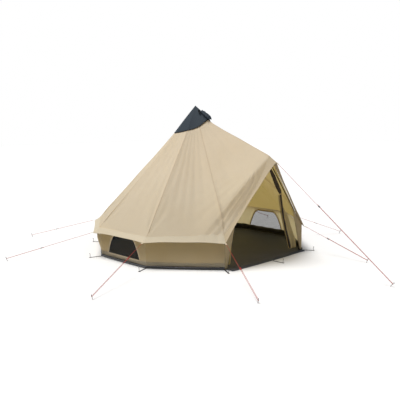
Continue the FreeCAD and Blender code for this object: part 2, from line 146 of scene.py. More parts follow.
def around_loop(corners, columns):
    """Points in even steps round a closed line, from corner to corner."""
    return np.array([lerp(corner, following, step / columns)
                     for corner, following in zip(corners, corners[1:] + corners[:1])
                     for step in range(columns)])


def travel_along(points):
    """Distance from the first point to each, along straight runs."""
    runs = norm(np.diff(np.asarray(points, float), axis=0), axis=1)
    return np.concatenate([[0], np.cumsum(runs)])


def ring(centre, side, other, radius, count):
    """Points of a circle round a centre, from side towards other."""
    return [tuple(centre + (side * cos(turn) + other * sin(turn)) * radius) for turn in turns(count)]


def link_object(name, data):
    new = bpy.data.objects.new(name, data)
    bpy.context.collection.objects.link(new)
    return new


def grid_piece(name, rows, paint, closed=False, body="tent", nodes=(), keep=None):
    """Mesh from rows of points. closed joins each row's ends. keep(i, j) says which quads stay."""
    rows = np.asarray(rows, float)
    height, width = rows.shape[:2]
    columns = width if closed else width - 1
    faces = []
    corners = []
    for i in range(height - 1):
        for j in range(columns):
            if keep is not None and not keep(i, j):
                continue
            after = (j + 1) % width
            here, below = i * width, (i + 1) * width
            faces.append((here + j, here + after, below + after, below + j))
            corners.append(((i, j), (i, j + 1), (i + 1, j + 1), (i + 1, j)))
    mesh = bpy.data.meshes.new(name)
    mesh.from_pydata([tuple(point) for point in rows.reshape(-1, 3)], [], faces)
    layer = mesh.uv_layers.new(name="Cloth")
    across, down = cloth_lengths(rows, closed)
    flat = [(across[i, j], down[i, j % width]) for quad in corners for i, j in quad]
    layer.data.foreach_set("uv", np.asarray(flat, float).ravel())
    mesh.polygons.foreach_set("use_smooth", [True] * len(mesh.polygons))
    mesh.validate()
    return finish_piece(name, mesh, paint, body, nodes)


def cloth_lengths(rows, closed):
    """UVs in metres: across each row, and down from the first row."""
    height, width = rows.shape[:2]
    following = np.roll(rows, -1, axis=1) if closed else rows[:, 1:]
    steps = norm(following - rows[:, :following.shape[1]], axis=2)
    across = np.zeros((height, steps.shape[1] + 1))
    across[:, 1:] = np.cumsum(steps, axis=1)
    down = np.zeros((height, width))
    down[1:] = np.cumsum(norm(np.diff(rows, axis=0), axis=2), axis=0)
    return across, down


def finish_piece(name, data, paint, body, nodes):
    """Links a piece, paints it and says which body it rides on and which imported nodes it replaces."""
    piece = link_object(name, data)
    data.materials.append(PAINTS[paint])
    if body:
        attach(piece, body)
    if nodes:
        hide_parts(*nodes)
    return piece


def cloth(name, rows, paint, flat, held, rests_on, area=None, **grid):
    """A sheet from rows of points. The rectangle it was cut from (flat) and its cut area (area) are not
    used.
    """
    piece = grid_piece(name, rows, paint, **grid)
    return piece


# ---- camera and studio ----
def make_camera():
    data = bpy.data.cameras.new("camera")
    data.lens = CAMERA_LENS
    data.sensor_width = SENSOR
    data.clip_end = 100.0
    camera = link_object("camera", data)
    back = CAMERA_BACK.normalized()
    right = (CAMERA_RIGHT - back * CAMERA_RIGHT.dot(back)).normalized()
    up = back.cross(right)
    turn = Matrix((right, up, back)).transposed().to_4x4()
    camera.matrix_world = Matrix.Translation(CAMERA_PLACE) @ turn
    bpy.context.scene.camera = camera


def make_studio():
    """Pale floor, white surroundings, a broad soft light from above and a weak one from the left."""
    reach = 60.0
    mesh = bpy.data.meshes.new("studio_floor")
    mesh.from_pydata([(-reach, -reach, 0), (reach, -reach, 0), (reach, reach, 0), (-reach, reach, 0)],
                     [], [(0, 1, 2, 3)])
    stage = link_object("studio_floor", mesh)
    stage.location.z = -0.002
    mesh.materials.append(Paint("studio_floor", (0.84, 0.84, 0.84), 0.9).material)
    make_surroundings()
    broad_light("high_light", 2.8, 30, (0.170, -0.210, -0.963))
    broad_light("side_light", 0.65, 50, (0.80, -0.50, -0.22))
    bpy.context.scene.view_settings.view_transform = "Standard"


def broad_light(name, strength, spread, direction):
    """Soft light from one side. spread is its width in degrees."""
    data = bpy.data.lights.new(name, "SUN")
    data.energy = strength
    data.angle = radians(spread)
    data.color = (1.0, 0.98, 0.95)
    light = link_object(name, data)
    light.rotation_euler = Vector(direction).to_track_quat("-Z", "Y").to_euler()


def make_surroundings():
    """White all round where it is seen, and a weaker light where it falls on the tent."""
    world = bpy.data.worlds.new("studio")
    bpy.context.scene.world = world
    nodes = Nodes(world)
    seen = nodes.tree.nodes["Background"]
    nodes.feed(seen, {"Color": (1.0, 1.0, 1.0, 1.0), "Strength": 1.0})
    falling = nodes.add("Background", {"Color": (0.93, 0.96, 1.0, 1.0), "Strength": 0.42})
    seen_ray = nodes.add("LightPath").outputs["Is Camera Ray"]
    nodes.feed(nodes.tree.nodes["World Output"], {"Surface": nodes.mix(seen_ray, falling, seen)})


# ---- materials ----
# Name of the mesh attribute that masks painted shade on the strip below the door's crease.
SHADE_NAME = "doubled_cloth"


class Nodes:
    """The nodes of a material or of the world."""

    def __init__(self, owner):
        owner.use_nodes = True
        self.tree = owner.node_tree

    def add(self, kind, inputs=None, **settings):
        node = self.tree.nodes.new("ShaderNode" + kind)
        for key, value in settings.items():
            setattr(node, key, value)
        self.feed(node, inputs or {})
        return node

    def feed(self, node, inputs):
        """Sets each input to a number or colour, or links it to another node's socket."""
        for key, value in inputs.items():
            if isinstance(value, bpy.types.NodeSocket):
                self.tree.links.new(value, node.inputs[key])
            else:
                node.inputs[key].default_value = value

    def mix(self, share, first, second):
        return self.add("MixShader", {"Fac": share, 1: first.outputs[0], 2: second.outputs[0]}).outputs[0]


class Paint(Nodes):
    """A material under construction."""

    def __init__(self, name, colour, roughness, **inputs):
        self.name = name
        self.material = bpy.data.materials.new(name)
        super().__init__(self.material)
        self.shader = self.tree.nodes["Principled BSDF"]
        self.feed(self.shader, {"Base Color": (*colour, 1), "Roughness": roughness})
        self.feed(self.shader, {key.replace("_", " "): value for key, value in inputs.items()})
        self.colour = colour

    def place(self, space):
        return self.add("TexCoord").outputs[space]

    def noise(self, scale, detail=4.0, space="Object"):
        inputs = {"Scale": scale, "Detail": detail, "Vector": self.place(space)}
        return self.add("TexNoise", inputs).outputs["Fac"]

    def waves(self, scale, direction, space="UV", distortion=0.0):
        inputs = {"Scale": scale, "Distortion": distortion, "Vector": self.place(space)}
        return self.add("TexWave", inputs, bands_direction=direction).outputs["Fac"]

    def threads(self, operation, scale, space="UV"):
        """Two crossed sets of threads, joined by a Math operation."""
        sets = {0: self.waves(scale, "X", space), 1: self.waves(scale, "Y", space)}
        return self.add("Math", sets, operation=operation).outputs[0]

    def ramp(self, source, low, high, start, end):
        """A value from low to high as the source goes from start to end."""
        inputs = {"Value": source, "From Min": start, "From Max": end, "To Min": low, "To Max": high}
        return self.add("MapRange", inputs).outputs["Result"]

    def linked(self, name, otherwise):
        """What already feeds one of the shader's inputs."""
        links = self.shader.inputs[name].links
        return links[0].from_socket if links else otherwise

    def shade(self, source, factor):
        """Mixes the base colour towards factor times itself where the source is high."""
        shaded = [channel * part for channel, part in zip(self.colour, factor)]
        inputs = {"Factor": source, "A": self.linked("Base Color", (*self.colour, 1)), "B": (*shaded, 1)}
        self.feed(self.shader, {"Base Color": self.add("Mix", inputs, data_type="RGBA").outputs["Result"]})

    def stain(self, scale, detail, amount, band, factor, space="Object"):
        """Patches of noise that tint the base colour, by up to amount."""
        self.shade(self.ramp(self.noise(scale, detail, space), 0.0, amount, *band), factor)

    def vary_roughness(self, scale, low, high):
        self.feed(self.shader, {"Roughness": self.ramp(self.noise(scale), low, high, 0.3, 0.7)})

    def bump(self, source, strength, distance):
        inputs = {"Strength": strength, "Distance": distance, "Height": source}
        below = self.linked("Normal", None)
        if below:
            inputs["Normal"] = below
        self.feed(self.shader, {"Normal": self.add("Bump", inputs).outputs["Normal"]})

    def mix_in(self, other, share):
        """Shows another shader's share in place of the painted one."""
        self.feed(self.tree.nodes["Material Output"], {"Surface": self.mix(share, self.shader, other)})


def weave(paint, thread, strength):
    """Plain weave from two sets of threads, in cloth metres."""
    paint.bump(paint.threads("MULTIPLY", 1.0 / thread), strength, thread * 0.3)


def canvas(name, colour, glow, share=0.34, low_painted_light=0.92, painted_light_band=(0.5, 1.7)):
    """Cotton canvas: weave, slubs, weather staining and soft creasing, with painted light low down and
    painted shade below the door's crease.

    It is thin: share is how much of the light on one side shows on the other, in the glow's colour.
    """
    paint = Paint(name, colour, 0.9, Sheen_Weight=0.08, Specular_IOR_Level=0.15)
    height = paint.add("SeparateXYZ", {0: paint.place("Object")}).outputs["Z"]
    # Painted light low down: the colour is scaled near the foot, as painted shade on the roof's lower
    # slopes and as painted floor bounce at the walls' foot.
    paint.shade(paint.ramp(height, 1.0, 0.0, *painted_light_band), (low_painted_light, low_painted_light, low_painted_light * 0.97))
    # Painted shade on the strip below the door's crease, read from the mesh attribute.
    paint.shade(paint.add("Attribute", attribute_name=SHADE_NAME).outputs["Fac"], (0.70, 0.67, 0.62))
    paint.stain(1.1, 6.0, 0.30, (0.42, 0.72), (0.88, 0.84, 0.76))
    paint.stain(9.0, 5.0, 0.18, (0.50, 0.75), (0.82, 0.79, 0.74))
    paint.stain(260.0, 2.0, 0.22, (0.45, 0.70), (0.84, 0.82, 0.78), "UV")
    paint.bump(paint.noise(5.5, 5.0), 0.25, 0.010)
    weave(paint, 0.0022, 0.35)
    paint.mix_in(paint.add("BsdfTranslucent", {"Color": (*glow, 1)}), share)
    return paint


def coated_cloth(name, colour, roughness, crease, coat=0.0):
    """Coated weave, such as the cap's or the groundsheet's: a dull shine with fine creases."""
    paint = Paint(name, colour, roughness, Specular_IOR_Level=0.25, Coat_Weight=coat, Coat_Roughness=0.28)
    paint.stain(3.0, 6.0, 0.5, (0.40, 0.75), (0.72, 0.72, 0.74))
    paint.stain(40.0, 4.0, 0.3, (0.50, 0.80), (1.35, 1.32, 1.30))
    paint.bump(paint.noise(14.0, 6.0), 0.5, crease)
    weave(paint, 0.004, 0.3)
    return paint


def net(name, colour, hole_share):
    """Fine insect net: threads with clear gaps between them."""
    paint = Paint(name, colour, 0.9, Specular_IOR_Level=0.1)
    spacing, softness = 0.0035, 0.12
    threads = paint.threads("MAXIMUM", 1.0 / spacing)
    paint.stain(30.0, 4.0, 0.4, (0.4, 0.7), (1.5, 1.5, 1.5))
    paint.bump(threads, 0.4, 0.0006)
    gaps = paint.ramp(threads, hole_share + softness, hole_share - softness, 0.0, 1.0)
    paint.mix_in(paint.add("BsdfTransparent"), gaps)
    return paint


def metal(name, colour, roughness):
    """Zinc-coated steel: fine draw lines, spangle and dull patches."""
    paint = Paint(name, colour, roughness, Metallic=1.0)
    paint.stain(25.0, 4.0, 0.5, (0.45, 0.7), (0.6, 0.6, 0.62))
    paint.vary_roughness(60.0, roughness - 0.1, roughness + 0.15)
    paint.bump(paint.noise(220.0), 0.15, 0.0004)
    return paint


def plastic(name, colour, roughness):
    """Moulded plastic or rubber with a fine grain and scuffs."""
    paint = Paint(name, colour, roughness)
    paint.stain(45.0, 4.0, 0.5, (0.5, 0.75), (1.5, 1.45, 1.4))
    paint.vary_roughness(90.0, roughness - 0.08, roughness + 0.15)
    paint.bump(paint.noise(500.0), 0.3, 0.0003)
    return paint


def webbing(name, colour):
    """Woven strap with a ribbed face."""
    paint = Paint(name, colour, 0.75)
    paint.stain(70.0, 4.0, 0.5, (0.45, 0.7), (1.6, 1.6, 1.6))
    paint.bump(paint.threads("ADD", 160.0, "Object"), 0.5, 0.0006)
    return paint


def braid(name, colour):
    """Braided cord with a coloured fleck."""
    paint = Paint(name, colour, 0.8)
    lay = paint.waves(150.0, "DIAGONAL", "Object", 1.5)
    paint.shade(paint.ramp(lay, 0.0, 0.55, 0.5, 0.9), (0.55, 0.40, 0.33))
    paint.bump(lay, 0.6, 0.0006)
    return paint


def make_paints():
    glow = (0.80, 0.60, 0.185)
    paints = [
        canvas("roof_canvas", (0.76, 0.66, 0.515), glow, low_painted_light=0.89),
        canvas("seam_canvas", (0.68, 0.58, 0.44), glow, 0.30),
        canvas("hem_canvas", (0.61, 0.54, 0.42), glow, 0.15, 1.0),
        # Darker copy of the canvas: painted shade on the brow over the door.
        canvas("brow_canvas", (0.47, 0.385, 0.265), glow, 0.04, 1.0),
        # Darker copy of the roof's canvas: painted shade on the walls under the eaves, with painted floor
        # bounce brightening their foot.
        canvas("wall_canvas", (0.28, 0.242, 0.184), (1.00, 0.84, 0.45), 0.55, 2.2, (0.04, 0.36)),
        canvas("binding_canvas", (0.52, 0.44, 0.32), glow, 0.30, 1.0),
        # Darker copy of the canvas: painted shade on the strips inside the door.
        canvas("jamb_canvas", (0.33, 0.26, 0.16), glow, 0.12, 1.0),
        canvas("curtain_canvas", (0.50, 0.425, 0.24), glow, 0.34, 1.0),
        coated_cloth("cap_cloth", (0.027, 0.0385, 0.051), 0.75, 0.006),
        coated_cloth("cap_binding", (0.012, 0.014, 0.016), 0.75, 0.003),
        coated_cloth("cap_lining", (0.006, 0.007, 0.009), 0.90, 0.003),
        coated_cloth("floor_sheet", (0.052, 0.061, 0.084), 0.60, 0.006, 0.05),
        coated_cloth("edge_sheet", (0.006, 0.006, 0.009), 0.40, 0.018, 0.9),
        coated_cloth("net_cloth", (0.046, 0.032, 0.018), 0.9, 0.004),
        net("window_mesh", (0.011, 0.013, 0.018), 0.34),
        braid("rope_braid", (0.40, 0.040, 0.028)),
        plastic("runner_red", (0.30, 0.012, 0.010), 0.45),
        plastic("runner_dark", (0.030, 0.018, 0.016), 0.45),
        plastic("pole_plastic", (0.025, 0.025, 0.027), 0.5),
        plastic("foot_rubber", (0.018, 0.018, 0.018), 0.75),
        metal("pole_steel", (0.55, 0.56, 0.57), 0.38),
        # Brown of a canvas sleeve round the pole, darkened further as painted shade under the brow.
        metal("shaded_sleeved_pole", (0.13, 0.10, 0.062), 0.8),
        metal("peg_steel", (0.10, 0.10, 0.105), 0.50),
        webbing("dark_webbing", (0.022, 0.022, 0.026)),
        webbing("tab_webbing", (0.46, 0.38, 0.27)),
    ]
    return {paint.name: paint.material for paint in paints}


PAINTS = make_paints()
OWN_PAINTS = {"a_frame_leg_left": "shaded_sleeved_pole", "a_frame_leg_right": "shaded_sleeved_pole",
              "guy_tabs": "tab_webbing"}


def paint_nodes():
    """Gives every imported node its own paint, or the one named after its slot."""
    for part in frame["record"]["subparts"]:
        paint = OWN_PAINTS.get(part["node"], part["material_slot"])
        if paint in PAINTS:
            materials = bpy.data.objects[part["node"]].data.materials
            materials.clear()
            materials.append(PAINTS[paint])


# ---- roof surface: a height for every place on the plan ----
def crown(angle):
    return polar(CROWN_RADIUS, angle, CROWN_HEIGHT)


def hem_radius():
    share = (CROWN_HEIGHT - HEM_TOP_HEIGHT) / (CROWN_HEIGHT - EAVE_HEIGHT)
    return CROWN_RADIUS + share * (EAVE_RADIUS - CROWN_RADIUS)


def hem(angle):
    return polar(hem_radius(), angle, HEM_TOP_HEIGHT)


def eave(angle):
    return polar(EAVE_RADIUS, angle, EAVE_HEIGHT)


def wall_corner(number, inset=0.0):
    """Foot of the wall at a corner, counted from the door's left one."""
    draw_in = WALL_DRAW_IN[min(number, len(CORNER_ANGLES) - 1 - number)]
    return polar(WALL_RADIUS - draw_in - inset, CORNER_ANGLES[number])


def plane(first, second, third):
    """Height function z = a x + b y + c through three points."""
    rows = np.array([[point[0], point[1], 1.0] for point in (first, second, third)])
    return np.linalg.solve(rows, np.array([first[2], second[2], third[2]]))


def height_on(coefficients, x, y):
    return coefficients[0] * x + coefficients[1] * y + coefficients[2]


def soft_min(first, second, width):
    share = np.clip(0.5 + 0.5 * (second - first) / width, 0.0, 1.0)
    return second * (1 - share) + first * share - width * share * (1 - share)


def soft_max(first, second, width):
    return -soft_min(-first, -second, width)


DOOR_LEFT = CORNER_ANGLES[0]
CREASE_END = lerp(hem(CORNER_ANGLES[1]), hem(DOOR_LEFT), CREASE_SHARE)
SIDE_PLANES = [plane(crown(a), hem(a), hem(b)) for a, b in zip(CORNER_ANGLES, CORNER_ANGLES[1:])]
UPPER_DOOR_PLANE = plane(crown(DOOR_LEFT), DOOR_PEAK, CREASE_END)
LOWER_DOOR_PLANE = plane(CREASE_END, DOOR_PEAK, hem(DOOR_LEFT))


def cone_height(x, y):
    result = height_on(SIDE_PLANES[0], x, y)
    for side in SIDE_PLANES[1:]:
        result = soft_min(result, height_on(side, x, y), 0.012)
    return result


def from_door_axis(x, y):
    """Angle in degrees between a place on the plan and the door's axis."""
    return np.degrees(np.abs(np.arctan2(x, -y)))


def door_roof_height(x, y):
    """The ridge over the door, with the crease on each side softening away from the peak."""
    left = -np.abs(x)
    away = np.hypot(left, y - DOOR_PEAK[1])
    crease_width = 0.014 + 0.030 * smooth_step(0.3, 1.8, away)
    upper, lower = height_on(UPPER_DOOR_PLANE, left, y), height_on(LOWER_DOOR_PLANE, left, y)
    half = soft_min(upper, lower, crease_width)
    ridge_round = 0.010
    half = half - ridge_round * np.exp(-np.abs(x) / 0.03)
    along = np.clip(-y / -DOOR_PEAK[1], 0.0, 1.0)
    ridge_sag = 0.062 * smooth_step(0.04, 0.28, along) * (1 - along)
    half = half - ridge_sag * np.exp(-np.abs(x) / 0.45)
    half = half - 0.8 * smooth_step(72.0, 95.0, from_door_axis(x, y))
    behind_crown = CROWN_HEIGHT + 2.5 * (-CROWN_RADIUS - y)
    return soft_min(half, behind_crown, 0.02)


def below_crease(x, y):
    """1 on the steep strip between the crease and the brow: the mask of the painted shade that darkens the
    canvas there.
    """
    left = -np.abs(x)
    upper, lower = height_on(UPPER_DOOR_PLANE, left, y), height_on(LOWER_DOOR_PLANE, left, y)
    share = smooth_step(0.0, 0.025, upper - lower) * smooth_step(-0.01, 0.03, lower - cone_height(x, y))
    return share * smooth_step(0.72, 1.15, lower)


def corner_pull(x, y, z):
    """Height change near the hem corners: the guy rope dips the corner and gathers the cloth."""
    change = np.zeros_like(x)
    for number, angle in enumerate(CORNER_ANGLES):
        corner = hem(angle)
        seam = unit(crown(angle) - corner)
        side = polar(1.0, angle + 90)
        rel_x, rel_y, rel_z = x - corner[0], y - corner[1], z - corner[2]
        along = rel_x * seam[0] + rel_y * seam[1] + rel_z * seam[2]
        across = rel_x * side[0] + rel_y * side[1]
        distance = np.sqrt(along ** 2 + across ** 2)
        turn = np.arctan2(across, np.maximum(along, 0.01))
        lean = 0.06 * sin(2.1 * number)
        fan = (np.cos((turn - lean) * (15 + number % 3)) - 0.4) * np.exp(-((turn - lean) / 0.34) ** 2)
        change += 0.019 * fan * smooth_step(0.0, 0.20, distance) * np.exp(-(distance / 0.95) ** 1.5)
        pair = (across + 0.015 * sin(1.7 * number)) / (0.032 + 0.036 * distance)
        fold = (np.cos(np.pi * pair) - 0.5) * np.exp(-(pair / 1.5) ** 2)
        change += 0.019 * fold * smooth_step(0.0, 0.22, distance) * np.exp(-(distance / 1.15) ** 2)
        change -= CORNER_DROP * np.exp(-(distance / 0.25) ** 2)
    return change


def door_folds(x, y):
    """Folds that fan down from the door peak, between the crease and the brow."""
    left = -np.abs(x)
    rel_x = left - DOOR_PEAK[0]
    rel_y = y - DOOR_PEAK[1]
    turn = np.arctan2(rel_y, -rel_x)
    low = atan2(hem(DOOR_LEFT)[1] - DOOR_PEAK[1], -hem(DOOR_LEFT)[0])
    high = atan2(CREASE_END[1] - DOOR_PEAK[1], -CREASE_END[0])
    share = (turn - low) / (high - low)
    distance = np.hypot(rel_x, rel_y)
    window = smooth_step(0.0, 0.15, share) * (1 - smooth_step(0.80, 1.20, share))
    size = 0.022 * smooth_step(0.06, 0.40, distance) * (1 - smooth_step(1.0, 1.6, distance))
    fan = np.sin(share * 17.0 + 1.5 * np.sin(distance * 3.0)) * window * size
    long_window = smooth_step(0.9, 1.6, share) * (1 - smooth_step(2.5, 4.0, share))
    long_size = 0.004 * smooth_step(0.3, 0.9, distance) * (1 - smooth_step(1.2, 2.0, distance))
    return fan + np.sin(share * 9.0 + 1.0) * long_window * long_size


HOLLOW_RADII = [0.35, 0.90, 1.50, 1.85, 2.05, 2.18]
HOLLOW_DEPTHS = [0.0, 0.030, 0.050, 0.056, 0.052, 0.040]


def sag(x, y):
    """The cloth hangs between its seams, and away from the door the slope hollows to the eaves."""
    angle = np.degrees(np.arctan2(y, x))
    turn = np.mod(CORNER_ANGLES[0] - angle, 360.0)
    share = np.mod(turn, CORNER_STEP) / CORNER_STEP
    radius = np.hypot(x, y)
    on_cone = turn < CORNER_STEP * len(SIDE_NAMES)
    between_seams = np.where(on_cone, 0.016 * np.sin(np.pi * share), 0.0)
    reach = np.sin(np.pi * np.clip(radius / hem_radius(), 0, 1)) ** 0.8
    hollow = np.interp(radius, HOLLOW_RADII, HOLLOW_DEPTHS)
    return between_seams * reach + hollow * smooth_step(24.0, 62.0, from_door_axis(x, y))


def ripples(x, y):
    """Slow unevenness of hand-pitched cloth, and faint pull lines from the crown down."""
    waves = [(1.0, 3.1, 1.7, 0.4), (1.0, -2.3, 4.1, 1.9), (0.6, 7.3, -5.9, 0.7), (0.4, 11.0, 9.0, 0.0)]
    uneven = sum(size * np.sin(along * x + across * y + start) for size, along, across, start in waves)
    angle = np.arctan2(y, x)
    radius = np.hypot(x, y)
    pull = np.sin(angle * 47.0 + 2.0 * np.sin(angle * 5.0)) * radius * (1 - smooth_step(1.2, 2.1, radius))
    return 0.0035 * uneven + 0.0045 * pull


def roof_height(x, y):
    """Height of the canopy's cloth at a place on the plan."""
    x = np.asarray(x, float)
    y = np.asarray(y, float)
    base = soft_max(cone_height(x, y), door_roof_height(x, y), 0.05)
    radius = np.hypot(x, y)
    free = smooth_step(0.05, 0.5, radius)
    change = corner_pull(x, y, base) + door_folds(x, y) - sag(x, y) + ripples(x, y)
    return base + change * free


# ---- canopy ----
def brow_bow(side_reach):
    """How far the seam over the door's slope bows out, at a distance from the ridge."""
    share = min(side_reach / abs(hem(DOOR_LEFT)[0]), 1.0)
    return np.array([0.0, -0.062 * bulge(share ** 0.8), 0.0])


def boundary_plan(columns):
    """Inner and outer ends of the canopy's threads, all the way round from the door peak."""
    crown_ring = [crown(angle) for angle in CORNER_ANGLES]
    ridge_start = lerp(crown_ring[0], crown_ring[-1], 0.5)
    outer = [DOOR_PEAK] + [hem(angle) for angle in CORNER_ANGLES]
    inner = [ridge_start] + crown_ring
    starts, ends = around_loop(inner, columns), around_loop(outer, columns)
    for number, end in enumerate(ends):
        if number // columns in (0, len(outer) - 1):      # over the door
            end += brow_bow(abs(end[0]))
    return starts, ends


def canopy_points(columns, rows):
    inner, outer = boundary_plan(columns)
    shares = np.linspace(0.0, 1.0, rows) ** 0.9
    plan = inner[None, :, :2] + (outer - inner)[None, :, :2] * shares[:, None, None]
    return np.dstack([plan, roof_height(plan[..., 0], plan[..., 1])[..., None]])


SIDE_LENGTH = norm(hem(CORNER_ANGLES[0]) - hem(CORNER_ANGLES[1]))
ROOF_SLANT = norm(crown(DOOR_LEFT) - hem(DOOR_LEFT))
RIDGE_LENGTH = norm(DOOR_PEAK - lerp(crown(DOOR_LEFT), crown(CORNER_ANGLES[-1]), 0.5))
WEDGES = ["wedge_panel_left", "wedge_panel_right"]


def make_canopy():
    points = canopy_points(40, 96)
    widths = SIDE_LENGTH * len(SIDE_NAMES) / 2 + norm(DOOR_PEAK - hem(DOOR_LEFT))
    canopy = cloth("canopy", points, "roof_canvas", (ROOF_SLANT, widths * 1.06), "stretched",
                   ["centre_pole_upper", "a_frame_peak_joint"], ROOF_SLANT * widths, closed=True,
                   nodes=[f"roof_panel_{name}" for name in SIDE_NAMES] + WEDGES)
    # Painted shade: the mask that darkens the canvas below the door's crease.
    shade = canopy.data.attributes.new(SHADE_NAME, "FLOAT", "POINT")
    shade.data.foreach_set("value", below_crease(*points.reshape(-1, 3)[:, :2].T))


def on_roof(place, lift):
    """The point of the roof's cloth over a place on the plan, and lifted off it."""
    x, y = place[:2]
    return np.array([x, y, float(roof_height(x, y)) + lift])


def roof_strip(start, end, half_width, lift):
    """Rows of a narrow strip that lies on the roof between two plan points."""
    start = np.array(start[:2])
    end = np.array(end[:2])
    side = unit(np.array([-(end - start)[1], (end - start)[0]]))
    section = [(-1.0, 0.0), (-0.85, 1.0), (0.0, 1.15), (0.85, 1.0), (1.0, 0.0)]
    return [[on_roof(lerp(start, end, share) + side * half_width * offset, lift * rise)
             for offset, rise in section] for share in np.linspace(0, 1, 90)]


def make_seams():
    """Flat-felled seam tapes down every corner, and along the ridge."""
    under_cap = 0.36
    for number, angle in enumerate(CORNER_ANGLES):
        seam_tape(f"seam_tape_{number + 1}", polar(under_cap, angle), hem(angle), ROOF_SLANT - under_cap)
    ridge_end = (0.0, DOOR_PEAK[1] + 0.004)
    seam_tape("ridge_tape", (0.0, -under_cap), ridge_end, RIDGE_LENGTH - under_cap)


def seam_tape(name, start, end, length):
    half_width, lift = 0.010, 0.0025
    cloth(name, roof_strip(start, end, half_width, lift), "seam_canvas",
          (2 * half_width, length), "stretched", ["canopy"])


# ---- hem bands ----
def eave_line(share_along, number):
    """Place on the eave's edge, which hangs in a shallow scallop between two corners."""
    start = eave(CORNER_ANGLES[number])
    end = eave(CORNER_ANGLES[number + 1])
    place = lerp(start, end, share_along)
    dip = bulge(share_along)
    to_corner = min(share_along, 1 - share_along) * norm(end - start)
    inward = -unit(place[:2])
    place[:2] += inward * 0.016 * dip
    place[2] += 0.004 * dip + 0.003 * sin(9.0 * share_along + number)
    place[2] -= CORNER_DROP * exp(-(to_corner / 0.25) ** 2)
    return place


def hem_row(top, bottom):
    """One slice through a doubled hem, from its stitched top over the edge and back inside."""
    folded, belly = 0.0045, 0.004
    section = [(-0.03, 0.6), (0.0, 1.0), (0.08, 0.3), (0.25, 0.8), (0.5, 0.7), (0.75, 0.8), (0.90, 0.4),
               (0.95, 0.9), (1.0, 0.0), (0.95, -0.9), (0.5, -0.9), (0.05, -0.9)]
    return [top + (bottom - top) * share + UP * (folded * rise) - UP * (belly * bulge(max(share, 0.0)))
            for share, rise in section]


HEM_WIDTH = norm(hem(DOOR_LEFT) - eave(DOOR_LEFT))


def along_sides(columns):
    """Side numbers and shares along each side, all the way from one door corner to the other."""
    last = len(SIDE_NAMES) - 1
    places = [(number, step / columns) for number in range(last + 1) for step in range(columns)]
    return places + [(last, 1.0)]


def make_eave_hem():
    rows = []
    for number, share in along_sides(44):
        top = lerp(hem(CORNER_ANGLES[number]), hem(CORNER_ANGLES[number + 1]), share)
        rows.append(hem_row(on_roof(top, 0.001), eave_line(share, number)))
    eave_length = norm(eave(CORNER_ANGLES[0]) - eave(CORNER_ANGLES[1])) * len(SIDE_NAMES)
    cloth("eave_hem", rows, "hem_canvas", (1.75 * HEM_WIDTH, eave_length), "stretched",
          ["canopy"], nodes=["eave_band"])


def make_brow_hem():
    """Doubled brow over the door: wide at the peak, narrow half way down each slope."""
    columns = 60
    hollow = 0.42                # share of the width that the edge's curve takes out half way
    rows = []
    for step in range(2 * columns + 1):
        share = min(step, 2 * columns - step) / columns
        top = lerp(hem(DOOR_LEFT), DOOR_PEAK, share)
        top = on_roof(top + brow_bow(abs(top[0])), 0.001)
        bottom = lerp(eave(DOOR_LEFT), BROW_TIP, share)
        bottom = lerp(bottom, top, hollow * bulge(share) ** 0.8)
        bottom[2] += 0.006 * sin(5 * pi * share) * bulge(share)
        bottom[2] -= CORNER_DROP * (1 - smooth_step(0.0, 0.2, share))
        mirror = [1 if step <= columns else -1, 1, 1]
        rows.append(hem_row(top * mirror, bottom * mirror))
    slope_length = norm(DOOR_PEAK - hem(DOOR_LEFT))
    cloth("brow_hem", rows, "brow_canvas", (2 * HEM_WIDTH, 2 * slope_length), "stretched",
          ["canopy", "a_frame_peak_joint"], HEM_WIDTH * 2.2 * slope_length, nodes=["door_brow"])


# ---- walls and windows ----
WINDOW_SIDES = ["left", "right"]
WINDOW_CENTRE_SHARE = 0.525
WINDOW_LOW, WINDOW_HIGH = 0.118, 0.508
WINDOW_LEVELS = [0.0, 0.30, 0.60, 0.82, 0.94, 1.0]
WINDOW_HALVES = [0.490, 0.450, 0.395, 0.340, 0.295, 0.235]   # half width at each level: arched top


def wall_ends(number):
    return wall_corner(number), wall_corner(number + 1)


def wall_length(number):
    start, end = wall_ends(number)
    return norm(end - start)


def wall_top(number, share):
    """Height just under the roof or its hem band, above a place on the wall."""
    place = lerp(*wall_ends(number), share)
    top = lerp(hem(CORNER_ANGLES[number]), hem(CORNER_ANGLES[number + 1]), share)
    edge = eave_line(share, number)
    reach = norm(place[:2])
    inner, outer = norm(top[:2]), norm(edge[:2])
    level = (reach - inner) / (outer - inner)
    gap = 0.012
    if level <= 0:
        return float(roof_height(place[0], place[1])) - gap
    return lerp(float(roof_height(top[0], top[1])), edge[2], level) - gap


def wall_place(number, share, height, lift=0.0):
    """Place on a wall: share runs along it, and the cloth bellies a little between its corners."""
    start, end = wall_ends(number)
    place = lerp(start, end, share)
    outward = unit(start + end)
    level = (height - WALL_BOTTOM) / (wall_top(number, share) - WALL_BOTTOM)
    level = min(max(level, 0.0), 1.0)
    across = bulge(min(max(share, 0.0), 1.0))
    belly = 0.110 if SIDE_NAMES[number] == "rear_left" else 0.014
    belly *= across * bulge(level)
    fold = 0.0035 * sin(23 * share + 2.0 * number) * (0.3 + 0.7 * level) * across ** 0.5
    gather = 0.006 * cos(90 * share) * level ** 3 * (1 - across) ** 4
    place = place + outward * (belly + fold + gather * across + lift)
    place[2] = height
    return place


def window_share(number, height):
    """Where the window's sides stand along the wall, at a height."""
    level = (height - WINDOW_LOW) / (WINDOW_HIGH - WINDOW_LOW)
    half = float(np.interp(level, WINDOW_LEVELS, WINDOW_HALVES)) / wall_length(number)
    centre = 1 - WINDOW_CENTRE_SHARE if SIDE_NAMES[number] == "left" else WINDOW_CENTRE_SHARE
    return centre - half, centre + half


WINDOW_ROWS = (6, 22)
WINDOW_COLUMNS = (14, 34)
TOP_ROWS = 5


